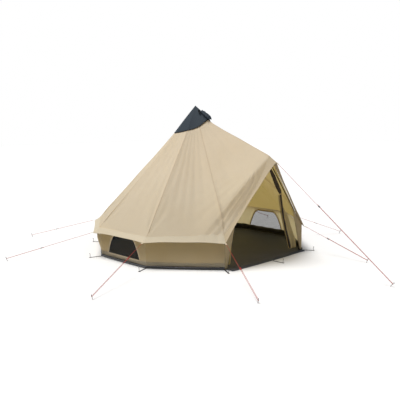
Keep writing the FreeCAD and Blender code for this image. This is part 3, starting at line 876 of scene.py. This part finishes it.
def wall_row(number, row):
    """One row of wall points: rows are level up to the window's top, then close on the roof."""
    below = np.linspace(WALL_BOTTOM, WINDOW_LOW, WINDOW_ROWS[0] + 1)
    beside = np.linspace(WINDOW_LOW, WINDOW_HIGH, WINDOW_ROWS[1] - WINDOW_ROWS[0] + 1)
    levels = np.concatenate([below, beside[1:]])
    height = levels[min(row, WINDOW_ROWS[1])]
    closing = max(row - WINDOW_ROWS[1], 0) / TOP_ROWS
    return [wall_place(number, share, lerp(height, wall_top(number, share), closing))
            for share in wall_shares(number, height)]


def wall_shares(number, height):
    first, second = window_share(number, height)
    outer = np.linspace(0, first, WINDOW_COLUMNS[0] + 1)
    inner = np.linspace(first, second, WINDOW_COLUMNS[1] - WINDOW_COLUMNS[0] + 1)
    rest = np.linspace(second, 1, WINDOW_COLUMNS[0] + 1)
    return np.concatenate([outer, inner[1:], rest[1:]])


def make_walls():
    for number, name in enumerate(SIDE_NAMES):
        rows = [wall_row(number, row) for row in range(WINDOW_ROWS[1] + TOP_ROWS + 1)]
        length = wall_length(number)
        height = (wall_top(number, 0.0) + wall_top(number, 1.0)) / 2 - WALL_BOTTOM
        area = length * height
        keep = outside_window if name in WINDOW_SIDES else None
        if keep:
            area -= (WINDOW_HIGH - WINDOW_LOW) * 2 * np.mean(WINDOW_HALVES)
        cloth(f"wall_{name}", rows, "wall_canvas", (length, height + 0.06), "hung",
              ["eave_hem"], area, nodes=[f"wall_panel_{name}"], keep=keep)


def outside_window(row, column):
    in_rows = WINDOW_ROWS[0] <= row < WINDOW_ROWS[1]
    in_columns = WINDOW_COLUMNS[0] <= column < WINDOW_COLUMNS[1]
    return not (in_rows and in_columns)


def make_windows():
    """Net in each window, and the doubled cloth that frames it."""
    width, height = 2 * WINDOW_HALVES[0], WINDOW_HIGH - WINDOW_LOW
    for name in WINDOW_SIDES:
        number = SIDE_NAMES.index(name)
        rows = []
        for level in np.linspace(WINDOW_LOW - 0.004, WINDOW_HIGH + 0.004, 26):
            first, second = window_share(number, level)
            shares = np.linspace(first - 0.003, second + 0.003, 24)
            rows.append([wall_place(number, share, level, -0.002) for share in shares])
        cloth(f"window_net_{name}", rows, "window_mesh", (width, height), "stretched",
              [f"wall_{name}"], 0.76 * width * height, nodes=["window_meshes"])
        cloth(f"window_binding_{name}", binding_rows(number), "binding_canvas",
              (0.042, 2.3 * width), "stretched", [f"wall_{name}"], closed=True)


def binding_rows(number):
    """Binding round a window: a closed loop with a raised, rounded section."""
    length = wall_length(number)
    section = [(-0.006, 0.0), (-0.004, 0.004), (0.010, 0.005), (0.024, 0.004), (0.028, 0.0005)]
    return [[wall_place(number, share + sideways * out / length, height + upward * out, lift)
             for (share, height), (sideways, upward) in window_outline(number)] for out, lift in section]


def window_outline(number):
    """Places round a window, each with the direction that points away from it."""
    sill, top = [[(lerp(*window_share(number, level), share), level) for share in np.linspace(0, 1, count)]
                 for level, count in ((WINDOW_LOW, 30), (WINDOW_HIGH, 14))]
    levels = np.linspace(WINDOW_LOW, WINDOW_HIGH, 40)
    falling, rising = [[(window_share(number, level)[side], level) for level in levels] for side in (0, 1)]
    places = sill + rising[1:] + top[-2:0:-1] + falling[:0:-1]
    loop = []
    for index, place in enumerate(places):
        before = places[index - 1]
        after = places[(index + 1) % len(places)]
        run = unit(np.array([(after[0] - before[0]) * wall_length(number), after[1] - before[1]]))
        loop.append((place, (run[1], -run[0])))
    return loop


def make_jambs():
    """Upright strips between the wall corner and the opening, with a turned edge."""
    corner = wall_corner(0)
    low, high = 0.022, 0.850
    for side, name in ((1.0, "left"), (-1.0, "right")):
        rows = []
        for share in np.linspace(0, 1, 30):
            height = lerp(high, low, share)
            inner_x = np.interp(height, [low, 0.430, high], [-1.075, -0.955, -0.840])
            outer_x = np.interp(height, [low, 0.545, 0.680, high], [-1.122, -1.122, -1.000, -0.860])
            row = []
            for across in np.linspace(0, 1, 9):
                x = lerp(outer_x, inner_x, across)
                ripple = 0.004 * sin(14 * share + 5 * across)
                row.append((side * x, corner[1] - 0.001 + ripple * across, height))
            row.append((side * (inner_x + 0.004), corner[1] + 0.006, height))
            row.append((side * inner_x, corner[1] + 0.012, height))
            rows.append(row)
        cloth(f"door_jamb_{name}", rows, "jamb_canvas", (0.17, high - low), "stretched",
              [f"wall_front_{name}", "brow_hem"], 0.12 * (high - low))


# ---- cap and hood ----
CAP_APEX = 2.978
CAP_RADIUS = 0.465
CAP_SIDE_RADIUS = 0.425      # at the corners next to the door's
CAP_DOOR_RADIUS = 0.378
CAP_FRONT_REACH = 0.420
CAP_FULLNESS = 0.006         # how far its cloth bulges between apex and hem
HOOD_LINE = [(0.172, 2.862), (0.186, 2.872), (0.212, 2.868), (0.242, 2.858), (0.272, 2.838), (0.305, 2.822),
             (0.345, 2.800), (0.395, 2.772), (0.425, 2.740), (0.440, 2.706), (0.446, 2.680)]
CAP_SLOPE = [(0.0, CAP_APEX), (0.410, 2.712), (0.450, 2.674)]     # reach and height over the ridge


def cap_hem_line(columns):
    """Points of the cap's hem: straight from corner to corner, from the one over the ridge."""
    corners = [np.array([0.0, -CAP_FRONT_REACH])]
    for number, angle in enumerate(CORNER_ANGLES):
        from_door = min(number, len(CORNER_ANGLES) - 1 - number)
        radius = {0: CAP_DOOR_RADIUS, 1: CAP_SIDE_RADIUS}.get(from_door, CAP_RADIUS)
        corners.append(polar(radius, angle)[:2])
    line = []
    for number, corner in enumerate(corners):
        following = corners[(number + 1) % len(corners)]
        for share in np.arange(columns) / columns:
            place = lerp(corner, following, share) * (1 - 0.008 * bulge(share))
            from_ridge = atan2(abs(place[0]), -place[1])
            line.append(on_roof(place, 0.011 + 0.022 * exp(-(from_ridge / 0.75) ** 2)))
    return line


def make_cap():
    """Cap over the crown: flat facets between its corners, creased where the cloth hangs free."""
    columns, depth = 14, 30
    line = cap_hem_line(columns)
    apex = np.array([0.0, 0.0, CAP_APEX])
    rows = []
    for row in range(depth + 1):
        share = (row + 0.15) / (depth + 0.15)
        points = []
        for low, around in zip(line, turns(len(line))):
            crease = 0.0016 * sin(around * 13 + 4 * share) + 0.0012 * sin(around * 31 + 9 * share)
            place = lerp(apex, low, share)
            place[2] += crease * share * (1.3 - share) * 2 + CAP_FULLNESS * bulge(share)
            points.append(place)
        rows.append(points)
    slant = norm(apex - line[columns])
    girth = 2 * pi * CAP_RADIUS
    cloth("vent_cap_cloth", rows, "cap_cloth", (2 * slant, 2 * slant), "draped",
          ["centre_pole_upper", "canopy"], 0.5 * slant * girth, closed=True, nodes=["vent_cap"])
    section = [(0.020, 0.0012), (0.018, 0.0035), (0.006, 0.0040), (-0.002, 0.0015), (-0.002, -0.0030),
               (0.006, -0.0045), (0.018, -0.0035)]
    rows = [[low + unit(apex - low) * inward + UP * lift for low in line] for inward, lift in section]
    cloth("vent_cap_binding", rows, "cap_binding", (0.048, girth), "stretched",
          ["vent_cap_cloth"], closed=True)


def make_hood():
    """Bunched hood over the vent: a puckered arch along the ridge, closed at its front end."""
    reach, top = np.array(HOOD_LINE).T
    slope_reach, slope_height = np.array(CAP_SLOPE).T
    travel = travel_along(HOOD_LINE)
    rows = []
    for share in np.linspace(0, 1, 70):
        at = share * travel[-1]
        out = float(np.interp(at, travel, reach))
        high = float(np.interp(at, travel, top))
        low = float(np.interp(out, slope_reach, slope_height)) + 0.006
        half = 0.036 + 0.020 * smooth_step(0.0, 0.35, share) - 0.016 * smooth_step(0.80, 1.0, share)
        row = []
        for across in np.linspace(-1, 1, 49):
            bend = across * pi / 2
            pucker = 0.0070 * sin(31 * share + 2.2 * cos(3 * across))
            pucker += 0.0045 * sin(8 * across + 17 * share)
            pucker *= bulge(min(max(share, 0.04), 0.97)) ** 0.4
            arch = cos(bend) ** 0.7
            x = half * sin(bend) * (1 + 0.10 * sin(26 * share + 2 * across))
            row.append((x, -out + 0.4 * pucker, low + (high - low + pucker) * arch))
        rows.append(row)
    cloth("vent_hood_cloth", rows, "cap_cloth", (0.18, travel[-1]), "gathered",
          ["vent_cap_cloth"], nodes=["vent_hood"])
    for side, name in ((-1.0, "left"), (1.0, "right")):
        make_vent_mouth(side, name)


def make_vent_mouth(side, name):
    """Dark vent opening beside the hood: a shallow dish with a rolled lip."""
    centre = np.array([side * 0.062, -0.185, 2.848])
    along = np.array([0.0, -0.83, -0.55]) * 0.036
    upward = unit(np.array([-side * 0.45, 0.20, 0.55])) * 0.020
    outward = unit(np.cross(along, upward))
    outward = outward * np.sign(outward[2])
    section = [(1.45, -0.004), (1.25, 0.005), (1.05, 0.007), (0.90, 0.000), (0.60, -0.006), (0.03, -0.008)]
    rows = []
    for spread, depth in section:
        row = []
        for turn in turns(36):
            ruffle = 1 + 0.06 * sin(5 * turn + side)
            rim = along * cos(turn) + upward * sin(turn)
            row.append(centre + rim * spread * ruffle + outward * depth)
        rows.append(row)
    cloth(f"vent_mouth_{name}", rows, "cap_lining", (0.12, 0.08), "gathered",
          ["vent_cap_cloth"], 0.0065, closed=True)


# ---- groundsheet ----
FLOOR_INSET = 0.014
APRON_REACH = 0.190
APRON_INSET = 0.024


def make_floor():
    """Groundsheet floor: laid cloth with soft wrinkles, and the apron in front of the door."""
    corners = [wall_corner(number, FLOOR_INSET) for number in range(len(CORNER_ANGLES))]
    columns, depth = 24, 60
    outer = around_loop(corners, columns)
    rows = []
    for share in np.linspace(0.0005, 1.0, depth):
        place = outer * share
        x, y = place[:, 0], place[:, 1]
        wrinkle = 0.5 + 0.25 * (np.sin(8 * x + 3 * np.sin(3 * y)) + np.sin(6 * y - 4 * x + 1.3))
        z = 0.003 + 0.010 * wrinkle * smooth_step(0.0, 0.1, 1 - share + 1e-9)
        rows.append(np.column_stack([x, y, z]))
    across = 2 * (WALL_RADIUS - FLOOR_INSET)
    cloth("floor_cloth", rows, "floor_sheet", (across, across), "laid", [],
          0.70 * across * across, closed=True, nodes=["groundsheet_floor"])
    make_apron(corners)


def make_apron(corners):
    half_width = corners[-1][0] - APRON_INSET
    sill = corners[-1][1]
    rows = []
    for share in np.linspace(0, 1, 80):
        x = lerp(-half_width, half_width, share)
        reach = APRON_REACH * (0.93 + 0.05 * sin(5 * share + 1) - 0.25 * smooth_step(0.6, 1.0, share))
        row = []
        for down in np.linspace(0, 1, 14):
            wave = 0.007 * sin(30 * share + 4 * down) * bulge(down)
            z = 0.006 + wave + 0.008 * bulge(down)
            row.append((x, sill + 0.01 - (reach + 0.01) * down, max(z - 0.004 * down, 0.001)))
        row.append((x, sill - reach + 0.004, 0.0005))
        rows.append(row)
    cloth("door_apron", rows, "floor_sheet", (APRON_REACH, 2 * half_width), "laid",
          ["floor_cloth"])


def make_edge():
    """Raised black edge inside the walls, which comes out under them and up as a flap outside."""
    profile = [(-0.011, 0.060), (-0.012, 0.100), (-0.010, 0.128), (-0.007, 0.131), (-0.005, 0.126),
               (-0.004, 0.060), (-0.003, 0.014), (0.004, 0.013), (0.006, 0.030), (0.006, 0.050),
               (0.009, 0.051), (0.015, 0.035), (0.019, 0.018), (0.014, 0.004), (0.000, 0.001),
               (-0.014, 0.003), (-0.020, 0.010), (-0.013, 0.030)]
    rows = []
    for number, share in along_sides(60):
        start, end = wall_ends(number)
        rows.append([edge_point(lerp(start, end, share), unit(start + end), number, share, out, height)
                     for out, height in profile])
    around = sum(wall_length(number) for number in range(len(SIDE_NAMES)))
    cloth("edge_cloth", rows, "edge_sheet", (0.46, around), "hung",
          ["wall_left", "wall_right"], nodes=["groundsheet_edge"])


def edge_point(place, outward, number, share, out, height):
    """A point of the raised edge: its flap bulges out, and its inner side slackens and creases."""
    shift = out + 0.0025 * sin(75 * share + 40 * height) * bulge(min(height / 0.13, 1))
    if out > 0.0035:
        shift += 0.026 * bulge(share) * bulge(min(height / 0.06, 1.0))
    elif height > 0.055:
        slack = 0.004 * sin(31 * share + number)
        shift += 0.3 * slack - 0.004 * bulge(share)
        height += slack
    return place + outward * shift + UP * height


# ---- door ----
CURTAIN_FRONT = -1.890


def gathered_curtain(name, levels, inner, outer, folds):
    """Curtain drawn together: deep upright folds that open out towards the foot."""
    low, high = levels
    rows = []
    for down in np.linspace(0, 1, 70):
        height = lerp(high, low, down)
        left, right = [float(np.interp(height, [z for x, z in side], [x for x, z in side]))
                       for side in (inner, outer)]
        row = []
        for across in np.linspace(0, 1, 20 * folds + 1):
            phase = 2 * pi * folds * across + 0.9 * sin(3.0 * down + across * 4)
            depth = 0.010 + 0.024 * smooth_step(0.0, 0.7, down)
            depth *= 0.75 + 0.35 * sin(7 * across + 1)
            x = lerp(left, right, across) + 0.25 * depth * sin(2 * phase)
            y = CURTAIN_FRONT + 0.035 - depth * cos(phase) * 0.9 + 0.004 * sin(11 * down)
            row.append((x, y, height + 0.012 * sin(phase) * down))
        rows.append(row)
    cloth(name, rows, "curtain_canvas", (0.11 * folds, high - low), "gathered",
          ["brow_hem"], nodes=[f"door_{name}"])


def make_curtains():
    """Each curtain's sides are listed as places across and up."""
    inner = [(0.835, 0.070), (0.725, 0.400), (0.600, 0.720), (0.480, 1.190)]
    outer = [(1.010, 0.070), (0.995, 0.230), (0.755, 0.770), (0.605, 0.960), (0.520, 1.190)]
    gathered_curtain("curtain_right", (0.070, 1.190), inner, outer, 6)
    inner = [(-1.015, 0.062), (-0.845, 0.795)]
    outer = [(-0.935, 0.062), (-0.803, 0.795)]
    gathered_curtain("curtain_left", (0.062, 0.795), inner, outer, 3)


NET_SECTIONS = [             # place and radius down the rolled net
    ((0.110, -1.950, 1.740), 0.028), ((0.200, -1.947, 1.605), 0.033), ((0.310, -1.942, 1.440), 0.036),
    ((0.420, -1.938, 1.275), 0.033), ((0.450, -1.935, 1.215), 0.016), ((0.480, -1.935, 1.065), 0.019),
    ((0.512, -1.935, 0.905), 0.017), ((0.545, -1.935, 0.740), 0.015), ((0.600, -1.935, 0.577), 0.018),
    ((0.660, -1.935, 0.400), 0.016), ((0.715, -1.935, 0.245), 0.020), ((0.770, -1.935, 0.090), 0.024),
]


def make_net_roll():
    """Insect net rolled up, squeezed at its tie, and hanging in a loose bunch."""
    places = np.array([place for place, radius in NET_SECTIONS])
    radii = np.array([radius for place, radius in NET_SECTIONS])
    travel = travel_along(places)
    rows = []
    for share in np.linspace(0, 1, 110):
        at = share * travel[-1]
        centre = np.array([np.interp(at, travel, places[:, axis]) for axis in range(3)])
        radius = float(np.interp(at, travel, radii))
        end = sqrt(max(1 - (2 * share - 1) ** 24, 0.0))
        row = []
        for turn in turns(40):
            pleat = 1 + 0.16 * sin(5 * turn + 6 * share) + 0.09 * sin(9 * turn - 11 * share)
            pleat += 0.05 * sin(2 * turn + 40 * share)
            size = max(radius * pleat * end, 0.0005)
            spread = np.array([cos(turn), sin(turn) * 0.8, 0.35 * cos(turn)])
            row.append(centre + spread * size)
        rows.append(row)
    roll = grid_piece("net_roll", rows, "net_cloth", closed=True, nodes=["door_net_roll"])
    make_net_tie()


def make_net_tie():
    """Cloth tie wound round the net where it is squeezed."""
    centre = Vector((0.440, -1.936, 1.232))
    radius, width = 0.026, 0.018
    along = Vector((0.5, 0.0, -0.87)).normalized()
    side = along.cross(Vector((0, 1, 0))).normalized()
    section = [(-0.5, 0.9), (-0.5, 1.08), (-0.25, 1.14), (0.25, 1.14), (0.5, 1.08), (0.5, 0.9)]
    rows = [ring(centre + along * (offset * width), side, along.cross(side), radius * grow, 32)
            for offset, grow in section]
    cloth("net_tie", rows, "curtain_canvas", (2 * width, 2 * pi * radius * 1.1),
          "folded", ["net_roll"], closed=True)


# ---- guy lines ----
class GuyLine:
    """One guy line, placed as in the part's source."""

    def __init__(self, anchor, peg, runner_share):
        flat = Vector((peg.x - anchor.x, peg.y - anchor.y, 0))
        side = flat.cross(Vector((0, 0, 1))).normalized()
        end = Vector((peg.x, peg.y, PEG_NECK)) + side * STRAND_OFFSET
        self.run = (end - anchor).normalized()
        self.side = self.run.cross(Vector((0, 0, 1))).normalized()
        self.end = end
        self.neck = end - self.side * STRAND_OFFSET
        self.start = anchor + self.run * TAB_REACH
        self.runner = anchor + self.run * ((end - anchor).length * runner_share) - self.side * STRAND_OFFSET


def guy_lines():
    lines = {}
    for name, corner_angle, peg_angle, distance, share in GUY_LINES:
        anchor = Vector(eave(corner_angle)) - Vector((0, 0, CLOTH_DROP))
        lines[name] = GuyLine(anchor, Vector(polar(distance, peg_angle)), share)
    anchor = Vector(BROW_TIP) - Vector((0, 0, CLOTH_DROP))
    lines["door_peak"] = GuyLine(anchor, PEAK_PEG, PEAK_RUNNER_SHARE)
    return lines


def spline_curve(name, points):
    """Curve of one open NURBS spline through given route points."""
    data = bpy.data.curves.new(name, "CURVE")
    data.dimensions = "3D"
    spline = data.splines.new("NURBS")
    spline.points.add(len(points) - 1)
    for point, place in zip(spline.points, points):
        point.co = (*place, 1.0)
    spline.order_u = 3
    spline.use_endpoint_u = True
    spline.resolution_u = 12
    return data


def rope_main(key, line):
    """The strand from the tab, through the runner, to the peg and half round it."""
    near = line.end - line.run * (6 * ROPE_DIAMETER)
    beyond = line.run * (STRAND_OFFSET * 1.3)
    back = line.neck - line.side * STRAND_OFFSET
    name = f"main_strand_{key}"
    data = spline_curve(name, [line.start, near, line.end, line.end + beyond, back + beyond, back])
    data.bevel_depth = ROPE_DIAMETER / 2
    data.bevel_resolution = 3
    data.use_fill_caps = True
    rope = finish_piece(name, data, "rope_braid", "tent", [f"guy_rope_{key}"])


def tube_rows(path, radius):
    """Rings of a tube round a list of points."""
    rows = []
    for number, place in enumerate(path):
        ahead = path[min(number + 1, len(path) - 1)]
        behind = path[max(number - 1, 0)]
        along = (ahead - behind).normalized()
        side = along.cross(Vector((0, 0, 1))).normalized()
        rows.append(ring(place, side, along.cross(side), radius, 10))
    return rows


def spline_points(name, route):
    """Points along a route's smooth line."""
    data = spline_curve(name, route)
    carrier = bpy.data.objects.new(name, data)
    mesh = bpy.data.meshes.new_from_object(carrier)
    points = [vertex.co.copy() for vertex in mesh.vertices]
    bpy.data.objects.remove(carrier)
    bpy.data.meshes.remove(mesh)
    bpy.data.curves.remove(data)
    return points


def rope_return(key, line):
    """The doubled strand from the peg up through the runner."""
    low = line.neck - line.side * STRAND_OFFSET
    high = line.runner - line.side * STRAND_OFFSET - line.run * STRAND_END
    path = spline_points(f"return_route_{key}", [low, low - line.run * (6 * ROPE_DIAMETER), high])
    strand = grid_piece(f"return_strand_{key}", tube_rows(path, ROPE_DIAMETER / 2), "rope_braid",
                        closed=True, body=None, nodes=[f"guy_rope_{key}"])
    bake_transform(strand)
    knot = rope_knot(key, high, line)


def rope_knot(key, place, line):
    """Stopper knot on the end of the strand, above the runner: cord wound round it."""
    winds, around, spread, length = 2.5, 60, 0.0042, 0.016
    lift = line.side.cross(line.run)
    rows = []
    for share in np.arange(around) / around:
        turn = 2 * pi * winds * share
        outward = line.side * cos(turn) + lift * sin(turn)
        centre = place + line.run * ((share - 0.5) * length) + outward * spread
        rows.append(ring(centre, outward, line.run, ROPE_DIAMETER * 0.48, 8))
    return grid_piece(f"knot_{key}", rows, "rope_braid", closed=True, body=f"runner_{key}")


def make_guy_lines():
    for key, line in guy_lines().items():
        rope_main(key, line)
        rope_return(key, line)


def main():
    make_camera()
    make_studio()
    paint_nodes()
    make_guy_lines()
    for make in (make_canopy, make_seams, make_eave_hem, make_brow_hem, make_walls, make_windows,
                 make_jambs, make_cap, make_hood, make_floor, make_edge, make_curtains, make_net_roll):
        make()


main()
